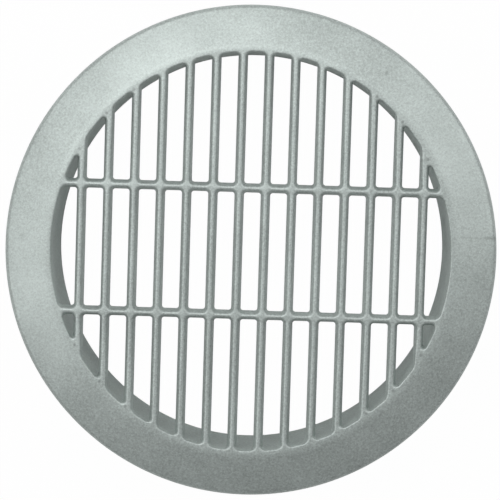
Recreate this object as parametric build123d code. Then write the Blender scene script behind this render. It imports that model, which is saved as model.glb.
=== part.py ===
from build123d import *
import os

# Vent grommet, one moulding: a flanged collar for a round panel hole, with a grille of bars across it.
# Sizes are in millimetres. The origin is on the axis in the plane of the flange seat, +Z out of the front.

# Collar and the panel hole that it goes into
hole_diameter = 63.5
hole_clearance = 0.25
collar_wall = 1.4
collar_length = 12.0
lead_in_depth = 0.4
lead_in_length = 1.2
collar_radius = hole_diameter / 2 - hole_clearance
bore_radius = collar_radius - collar_wall

# Flange: a cone that rises from a thin round-edged rim to a narrow flat land beside the opening
flange_overlap = 5.75
rim_height = 1.0
rim_rounding = 0.5
face_height = 2.8
land_outer = 1.0
land_bevel = 0.4
flange_radius = hole_diameter / 2 + flange_overlap

# Grille: upright bars on an even pitch and two cross bars. All are widest at the back, with sides that
# draw in so that they leave the mould, and a rounded front.
bar_pitch = 4.0
bar_width = 1.45
bar_drop = 0.1
cross_spacing = 19.4
cross_width = 1.4
cross_drop = 0.2
side_draft = 0.2
front_crown = 0.35
grille_depth = 2.0
grille_back = face_height - grille_depth
bars_each_side = int(bore_radius / bar_pitch)

# Collar and flange, turned as one ring
outline = Polyline(
    (bore_radius, -collar_length),
    (collar_radius - lead_in_depth, -collar_length),
    (collar_radius, lead_in_length - collar_length),
    (collar_radius, 0),
    (flange_radius, 0),
    (flange_radius, rim_height),
    (bore_radius + land_outer, face_height),
    (bore_radius + land_bevel, face_height),
    (bore_radius, face_height - land_bevel),
    close=True,
)
section = make_face(outline)
rim_corner = section.vertices().group_by(Axis.X)[-1].sort_by(Axis.Y)[-1]
section = fillet(rim_corner, rim_rounding)
ring = revolve(Plane.XZ * section, Axis.Z)


# One bar along Y: flat back, drafted sides and a front that is an arc across the width
def round_fronted_bar(width, top):
    back = width / 2
    shoulder = back - side_draft
    spring = top - front_crown
    sides = Polyline((shoulder, spring), (back, grille_back), (-back, grille_back), (-shoulder, spring))
    front = ThreePointArc((shoulder, spring), (0, top), (-shoulder, spring))
    return extrude(Plane.XZ * make_face([sides, front]), collar_radius, both=True)


# Bars and cross bars, cut off inside the collar wall so that they run out under the land
upright = round_fronted_bar(bar_width, face_height - bar_drop)
cross = round_fronted_bar(cross_width, face_height - cross_drop).rotate(Axis.Z, 90)
bars = [Pos((index + 0.5) * bar_pitch, 0, 0) * upright for index in range(-bars_each_side, bars_each_side)]
bars += [Pos(0, side * cross_spacing / 2, 0) * cross for side in (-1, 1)]
wall_middle = Cylinder(bore_radius + collar_wall / 2, 4 * face_height)
grille = bars[0].fuse(*bars[1:]) & wall_middle

vent_grommet = ring.fuse(*grille.solids())

os.makedirs("parts", exist_ok=True)
export_step(vent_grommet, "parts/vent_grommet.step")
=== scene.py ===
import math
import bpy
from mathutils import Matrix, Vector


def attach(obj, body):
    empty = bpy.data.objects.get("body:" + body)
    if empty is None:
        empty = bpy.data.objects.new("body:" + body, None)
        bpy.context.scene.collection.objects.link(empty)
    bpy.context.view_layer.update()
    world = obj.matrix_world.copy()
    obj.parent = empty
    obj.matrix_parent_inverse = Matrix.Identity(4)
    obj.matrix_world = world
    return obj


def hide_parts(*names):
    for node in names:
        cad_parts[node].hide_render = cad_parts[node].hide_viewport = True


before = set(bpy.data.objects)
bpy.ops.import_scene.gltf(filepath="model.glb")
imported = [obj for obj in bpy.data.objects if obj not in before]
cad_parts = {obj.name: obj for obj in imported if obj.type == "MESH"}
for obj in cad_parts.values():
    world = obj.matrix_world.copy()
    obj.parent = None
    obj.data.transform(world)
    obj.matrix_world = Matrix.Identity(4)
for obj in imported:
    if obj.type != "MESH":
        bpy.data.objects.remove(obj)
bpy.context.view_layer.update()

# Vent grommet: one injection moulding in silver-grey plastic, with no other piece on it. A collar
# goes through a round hole in a panel, a flange covers the edge of that hole, and a grille crosses
# the opening. It is drawn in millimetres, and brought to metres once it is whole.
bpy.ops.object.select_all(action="DESELECT")

# Collar and flange: the ring that carries the grille. The collar is a plain tube with a lead-in at
# its rear edge, and the flange a cone round its front. A circle is pulled on from corner to corner
# of the ring's section, and the corners are then rounded as the mould leaves them.
front = 2.8
grille_back = 0.8
bore = 30.1
bore_front = 30.3
collar = 31.5
rear = -12.0
lead_in = 0.4
lead_in_end = -10.8
flange = 37.5
rim = 1.0
lip = 31.22
lip_start = 30.66
ring_steps = 240
ring_corners = [
    (bore_front, grille_back),
    (bore, rear),
    (collar - lead_in, rear),
    (collar, lead_in_end),
    (collar, 0),
    (flange, 0),
    (flange, rim),
    (lip, front),
    (lip_start, front),
]
# Each rounded corner, the width of its rounding and the steps in it
roundings = [
    ((lip, front), 0.45, 8),
    ((flange, rim), 0.65, 7),
    ((flange, 0), 0.15, 3),
    ((collar, 0), 0.2, 3),
    ((collar, lead_in_end), 0.3, 3),
    ((collar - lead_in, rear), 0.2, 3),
    ((bore, rear), 0.2, 3),
]
close_by = 0.01

bpy.ops.mesh.primitive_circle_add(vertices=ring_steps, radius=bore_front, location=(0, 0, grille_back))
grommet = bpy.context.object
grommet.name = "vent_grommet_moulding"
bpy.ops.object.transform_apply(location=True, rotation=True, scale=True)
bpy.ops.object.mode_set(mode="EDIT")
bpy.ops.mesh.select_mode(type="EDGE")
bpy.ops.mesh.select_all(action="SELECT")
for start, end in zip(ring_corners, ring_corners[1:]):
    bpy.ops.mesh.extrude_edges_move(TRANSFORM_OT_translate={"value": (0, 0, end[1] - start[1])})
    widening = end[0] / start[0]
    bpy.ops.transform.resize(value=(widening, widening, 1), center_override=(0, 0, 0))


def select_edges(wanted):
    bpy.ops.mesh.select_all(action="DESELECT")
    bpy.ops.object.mode_set(mode="OBJECT")
    places = [vertex.co.copy() for vertex in grommet.data.vertices]
    for edge in grommet.data.edges:
        edge.select = all(wanted(places[end]) for end in edge.vertices)
    bpy.ops.object.mode_set(mode="EDIT")


for (radius, height), width, steps in roundings:
    select_edges(lambda place: math.hypot(place.xy.length - radius, place.z - height) < close_by)
    bpy.ops.mesh.bevel(offset=width, segments=steps, profile=0.5, affect="EDGES")
bpy.ops.object.mode_set(mode="OBJECT")

# Grille: upright bars and two cross bars across the opening, moulded in one with the ring. They are
# widest at the back, so that they leave the mould, and rounded in front. Each window between them is
# drawn flat, with rounded corners, and the section of its wall is swept round it.
bar_count = 14
bar_pitch = 4.0
bar_width = 1.45
bars = [(n - (bar_count - 1) / 2) * bar_pitch for n in range(bar_count)]
cross_width = 1.4
cross_bars = [-9.7, 9.7]
ring_clearance = 0.02
opening = bore_front - ring_clearance
window_corner = 0.4
ring_corner = 0.5
ring_corner_power = 0.75
corner_step = 15
bar_draft = 0.25
front_width = 0.45
front_depth = 0.6
front_steps = 8


def toward(angle, distance):
    return Vector((math.cos(math.radians(angle)), math.sin(math.radians(angle)))) * distance


def window_outline(sides):
    # A side is the way it faces, in degrees, and how far that way it lies; the ring's side is None.
    # A corner against the ring is tighter where it is sharp, and wider where it is blunt
    outline = []
    ring_from = None
    for side, after in zip(sides, sides[1:] + sides[:1]):
        if side and after:
            radius = window_corner
            middle = toward(side[0], side[1] - radius) + toward(after[0], after[1] - radius)
            first, last = side[0], after[0]
        else:
            facing, distance = side or after
            meeting = math.acos(distance / opening)
            radius = ring_corner / math.tan(meeting / 2) ** ring_corner_power
            along = math.sqrt((opening - radius) ** 2 - (distance - radius) ** 2)
            middle = toward(facing, distance - radius) + toward(facing + 90, along if side else -along)
            ring_angle = math.degrees(math.atan2(middle.y, middle.x))
            first, last = (facing, ring_angle) if side else (ring_angle, facing)
        if not side:
            span = (first - ring_from) % 360
            count = round(span / (360 / ring_steps))
            outline += [toward(ring_from + span * n / count, opening) for n in range(1, count)]
        swing = (last - first) % 360
        steps = max(2, round(swing / corner_step))
        outline += [middle + toward(first + swing * n / steps, radius) for n in range(steps + 1)]
        ring_from = last
    return outline


half_bar = bar_width / 2
half_cross = cross_width / 2
outlines = []
for column in range(len(bars) + 1):
    for row in range(len(cross_bars) + 1):
        sides = [
            (-90, -cross_bars[row - 1] - half_cross) if row else None,
            (0, bars[column] - half_bar) if column < len(bars) else None,
            (90, cross_bars[row] - half_cross) if row < len(cross_bars) else None,
            (180, -bars[column - 1] - half_bar) if column else None,
        ]
        # Two sides next to each other that are both the ring's are one side, and it comes last
        sides = [side for n, side in enumerate(sides) if side or sides[n - 1]]
        if None in sides:
            ring_side = sides.index(None)
            sides = sides[ring_side + 1:] + sides[:ring_side + 1]
        outlines.append(window_outline(sides))

section = [(0, grille_back)]
for step in range(front_steps + 1):
    turn = math.radians(90 * step / front_steps)
    section.append((front_width * (math.cos(turn) - 1) - bar_draft,
                    front - front_depth * (1 - math.sin(turn))))


def draw_flat(name, lines, closed):
    drawing = bpy.data.curves.new(name, "CURVE")
    drawing.dimensions = "2D"
    drawing.fill_mode = "NONE"
    for line in lines:
        spline = drawing.splines.new("POLY")
        spline.points.add(len(line) - 1)
        for point, place in zip(spline.points, line):
            point.co = (*place, 0, 1)
        spline.use_cyclic_u = closed
    drawn = bpy.data.objects.new(name, drawing)
    bpy.context.scene.collection.objects.link(drawn)
    return drawn


wall_section = draw_flat("window_wall_section", [section], False)
windows = draw_flat("windows", outlines, True)
windows.data.bevel_mode = "OBJECT"
windows.data.bevel_object = wall_section
windows.select_set(True)
bpy.context.view_layer.objects.active = windows
bpy.ops.object.convert(target="MESH")
bpy.data.objects.remove(wall_section)

# Ends of the windows: where a window meets the ring, the mould leaves its wall nearly straight, with
# only a small edge in front. Over about a millimetre it turns into the rounded front of the bars.
ring_draft = 0.08
ring_edge = 0.25
ring_blend = 1.2

for vertex in windows.data.vertices:
    if vertex.co.z > grille_back + close_by:
        from_axis = vertex.co.xy.length
        turn = math.asin(min(max(1 - (front - vertex.co.z) / front_depth, 0), 1))
        bar_reach = bar_draft + front_width * (1 - math.cos(turn))
        ring_reach = ring_draft + ring_edge * (1 - math.cos(turn))
        ring_level = front - ring_edge * (1 - math.sin(turn))
        near = min(max(1 - (opening + bar_reach - from_axis) / ring_blend, 0), 1)
        near = near * near * (3 - 2 * near)
        widening = 1 + near * (ring_reach - bar_reach) / from_axis
        vertex.co = (vertex.co.x * widening, vertex.co.y * widening,
                     vertex.co.z + near * (ring_level - vertex.co.z))

# One skin: ring and grille leave the mould as one piece, with no seam between them. The fronts and
# the flat backs of the bars are filled in between the windows and the ring.
mm = 0.001
on_level = 0.001
no_size = 0.001
sharp_edge = 35

bpy.ops.object.select_all(action="DESELECT")
windows.select_set(True)
grommet.select_set(True)
bpy.context.view_layer.objects.active = grommet
bpy.ops.object.join()
bpy.ops.object.mode_set(mode="EDIT")
for level in (front, grille_back):
    select_edges(lambda place: abs(place.z - level) < on_level and place.xy.length < lip_start + close_by)
    bpy.ops.mesh.fill(use_beauty=True)
bpy.ops.mesh.select_all(action="SELECT")
bpy.ops.mesh.dissolve_degenerate(threshold=no_size)
bpy.ops.mesh.normals_make_consistent(inside=False)
bpy.ops.mesh.select_all(action="DESELECT")
bpy.ops.object.mode_set(mode="OBJECT")
grommet.scale = (mm, mm, mm)
bpy.ops.object.transform_apply(location=True, rotation=True, scale=True)
bpy.ops.object.shade_smooth_by_angle(angle=math.radians(sharp_edge))

# Plastic of the moulding: silver-grey, with fine metal flake mixed in before it is moulded. The
# surface is satin, mottled by the flake and by the fine grain of the mould, with faint wider clouds.
dark_silver = (0.38, 0.423, 0.407, 1)
light_silver = (0.61, 0.677, 0.653, 1)
grain_size, grain_share = 0.34, 0.53
flake_size, flake_share = 0.16, 0.22
cloud_size, cloud_share = 7.0, 0.25
grain_depth = 0.02
smoothest, roughest = 0.44, 0.56

silver = bpy.data.materials.new("satin_silver_plastic")
silver.use_nodes = True
nodes, links = silver.node_tree.nodes, silver.node_tree.links
plastic = nodes["Principled BSDF"]
plastic.inputs["Metallic"].default_value = 0.5
where = nodes.new("ShaderNodeTexCoord").outputs["Object"]


def texture(kind, size, detail=None):
    made = nodes.new(kind)
    made.inputs["Scale"].default_value = 1 / (size * mm)
    if detail is not None:
        made.inputs["Detail"].default_value = detail
    links.new(where, made.inputs["Vector"])
    return made


def work_out(operation, first, second):
    made = nodes.new("ShaderNodeMath")
    made.operation = operation
    for socket, value in zip(made.inputs, (first, second)):
        if isinstance(value, bpy.types.NodeSocket):
            links.new(value, socket)
        else:
            socket.default_value = value
    return made.outputs[0]


def add(first, second):
    return work_out("ADD", first, second)


def times(first, second):
    return work_out("MULTIPLY", first, second)


def fade(value, start, end, low, high):
    made = nodes.new("ShaderNodeMapRange")
    made.interpolation_type = "SMOOTHSTEP"
    links.new(value, made.inputs["Value"])
    for name, limit in (("From Min", start), ("From Max", end), ("To Min", low), ("To Max", high)):
        made.inputs[name].default_value = limit
    return made.outputs[0]


grain = texture("ShaderNodeTexNoise", grain_size, 2.0).outputs["Fac"]
clouds = texture("ShaderNodeTexNoise", cloud_size, 1.0).outputs["Fac"]
flake_colour = nodes.new("ShaderNodeSeparateColor")
links.new(texture("ShaderNodeTexVoronoi", flake_size).outputs["Color"], flake_colour.inputs[0])
flake = flake_colour.outputs[0]
tone = add(times(grain, grain_share), times(flake, flake_share))
tone = add(tone, times(clouds, cloud_share))
silver_tone = nodes.new("ShaderNodeValToRGB")
darkest, lightest = silver_tone.color_ramp.elements
darkest.position, darkest.color = 0.3, dark_silver
lightest.position, lightest.color = 0.7, light_silver
links.new(tone, silver_tone.inputs[0])
links.new(fade(flake, 0, 1, smoothest, roughest), plastic.inputs["Roughness"])
bump = nodes.new("ShaderNodeBump")
bump.inputs["Strength"].default_value = 0.3
bump.inputs["Distance"].default_value = grain_depth * mm
links.new(grain, bump.inputs["Height"])
links.new(bump.outputs["Normal"], plastic.inputs["Normal"])

# Marks in the plastic: a dark speck and a faint smudge on the flange, and a knit line where the plastic
# met on its way round the mould. Beside them is painted shade in the creases beyond the sharp ends of the
# outer windows, where the bars run into the ring. Each is a share by which the silver is darker there.
position = nodes.new("ShaderNodeSeparateXYZ")
links.new(where, position.inputs[0])
across, up, forward = (position.outputs[axis] for axis in "XYZ")


def spot(x, y, z, inner, outer, strength, place=where):
    away = nodes.new("ShaderNodeVectorMath")
    away.operation = "DISTANCE"
    links.new(place, away.inputs[0])
    away.inputs[1].default_value = (x * mm, y * mm, z * mm)
    return fade(away.outputs["Value"], inner * mm, outer * mm, strength, 0)


speck = spot(19.76, 27.76, 1.96, inner=0.1, outer=0.42, strength=0.3)
smudge = spot(-34.81, 1.25, 1.75, inner=0.2, outer=1.1, strength=0.09)

# The knit line is thin from the lip outwards, with a wider shade on it towards the rim
knit_up = 3.2
knit_wave, knit_wave_length = 0.5, 1.6
wave = texture("ShaderNodeTexNoise", knit_wave_length, 1.0).outputs["Fac"]
wave = times(work_out("SUBTRACT", wave, 0.5), knit_wave * mm)
from_knit = add(work_out("SUBTRACT", up, knit_up * mm), wave)
from_knit = work_out("ABSOLUTE", from_knit, 0)
thin = times(fade(from_knit, 0.02 * mm, 0.25 * mm, 0.13, 0),
             fade(across, 31.0 * mm, 32.6 * mm, 0, 1))
wide = times(fade(from_knit, 0.1 * mm, 0.5 * mm, 0.12, 0),
             fade(across, 34.8 * mm, 36.2 * mm, 0, 1))
knit = add(thin, wide)

# Painted shade in the creases beside the three outermost bars, alike in all four quarters
crease_shade_circle = 30.3
crease_shade_beside = 0.38
quarter = nodes.new("ShaderNodeVectorMath")
quarter.operation = "ABSOLUTE"
links.new(where, quarter.inputs[0])
crease_shades = 0
for bar in bars[-3:]:
    crease_shade_x = bar + crease_shade_beside
    crease_shade_y = math.sqrt(crease_shade_circle ** 2 - crease_shade_x ** 2)
    crease_shades = add(crease_shades, spot(crease_shade_x, crease_shade_y, front, inner=0.08, outer=0.34, strength=0.34,
                          place=quarter.outputs["Vector"]))

on_front = fade(forward, 0.2 * mm, 0.6 * mm, 0, 1)
# The silver is darkened by the marks and by the painted crease shade
marks_and_crease_shade = add(add(speck, smudge), times(add(knit, crease_shades), on_front))
marked_and_shaded_silver = nodes.new("ShaderNodeVectorMath")
marked_and_shaded_silver.operation = "SCALE"
links.new(silver_tone.outputs["Color"], marked_and_shaded_silver.inputs[0])
links.new(work_out("SUBTRACT", 1, marks_and_crease_shade), marked_and_shaded_silver.inputs["Scale"])
links.new(marked_and_shaded_silver.outputs[0], plastic.inputs["Base Color"])

grommet.data.materials.clear()
grommet.data.materials.append(silver)
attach(grommet, "root")
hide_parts("vent_grommet")

# Floor: a plain white table top under the rear edge of the collar. The camera sees it as white. In
# reflections it is white only further out, so that the shadow under the grommet stays in them.
floor_size = 4
floor_gap = 0.01
shadow_reach = 0.045
open_reach = 0.1
shadow_white = 0.12
white_share = 0.985

bpy.ops.mesh.primitive_plane_add(size=floor_size, location=(0, 0, (rear - floor_gap) * mm))
bpy.ops.object.transform_apply(location=True, rotation=True, scale=True)
floor = bpy.context.object
floor.name = "floor"
white = bpy.data.materials.new("white_table")
white.use_nodes = True
nodes, links = white.node_tree.nodes, white.node_tree.links
table = nodes["Principled BSDF"]
table.inputs["Base Color"].default_value = (0.8, 0.8, 0.8, 1)
table.inputs["Roughness"].default_value = 0.9
glow = nodes.new("ShaderNodeEmission")
path = nodes.new("ShaderNodeLightPath")
from_middle = nodes.new("ShaderNodeVectorMath")
from_middle.operation = "LENGTH"
links.new(nodes.new("ShaderNodeTexCoord").outputs["Object"], from_middle.inputs[0])
open_table = nodes.new("ShaderNodeMapRange")
open_table.inputs["From Min"].default_value = shadow_reach
open_table.inputs["From Max"].default_value = open_reach
open_table.inputs["To Min"].default_value = shadow_white
links.new(from_middle.outputs["Value"], open_table.inputs["Value"])
mirrored = add(path.outputs["Is Glossy Ray"], path.outputs["Is Transmission Ray"])
mirrored = times(mirrored, open_table.outputs["Result"])
seen = add(path.outputs["Is Camera Ray"], mirrored)
seen.node.use_clamp = True
mix = nodes.new("ShaderNodeMixShader")
links.new(times(seen, white_share), mix.inputs[0])
links.new(table.outputs[0], mix.inputs[1])
links.new(glow.outputs[0], mix.inputs[2])
links.new(mix.outputs[0], nodes["Material Output"].inputs["Surface"])
floor.data.materials.append(white)

# Light: a white room and four soft round lamps close by, the strongest from the upper left. A lamp
# has its turn round the axis and its height in degrees, its distance in metres and its power.
room_light = 0.18
lamp_size = 0.13
lamps = [
    ("top", 90, 45, 0.13, 0.02),
    ("upper_left", 120, 60, 0.2, 0.15),
    ("left", 190, 45, 0.2, 0.082),
    ("right", 24, 45, 0.2, 0.092),
]

world = bpy.data.worlds.new("studio")
bpy.context.scene.world = world
world.use_nodes = True
room = world.node_tree.nodes["Background"]
room.inputs["Color"].default_value = (1, 1, 1, 1)
room.inputs["Strength"].default_value = room_light
for name, turn, height, distance, power in lamps:
    lamp = bpy.data.lights.new(name, "AREA")
    lamp.shape = "DISK"
    lamp.size = lamp_size
    lamp.energy = power
    held = bpy.data.objects.new(name, lamp)
    held.location = toward(turn, distance * math.cos(math.radians(height))).to_3d()
    held.location.z = distance * math.sin(math.radians(height))
    held.rotation_euler = (-held.location).to_track_quat("-Z", "Y").to_euler()
    bpy.context.scene.collection.objects.link(held)

# Camera: in front of the grommet, a little towards the top of the grille and turned with it as in
# the photo. It looks through a long lens from about a third of a metre.
lens = bpy.data.cameras.new("camera")
lens.lens = 163.3
lens.sensor_width = 36
lens.clip_start = 0.01
camera = bpy.data.objects.new("camera", lens)
camera.location = (3.0 * mm, 23.0 * mm, 346 * mm)
camera.rotation_euler = [math.radians(angle) for angle in (-3.757, 0.63, 1.74)]
bpy.context.scene.collection.objects.link(camera)
bpy.context.scene.camera = camera
bpy.context.scene.view_settings.view_transform = "Standard"
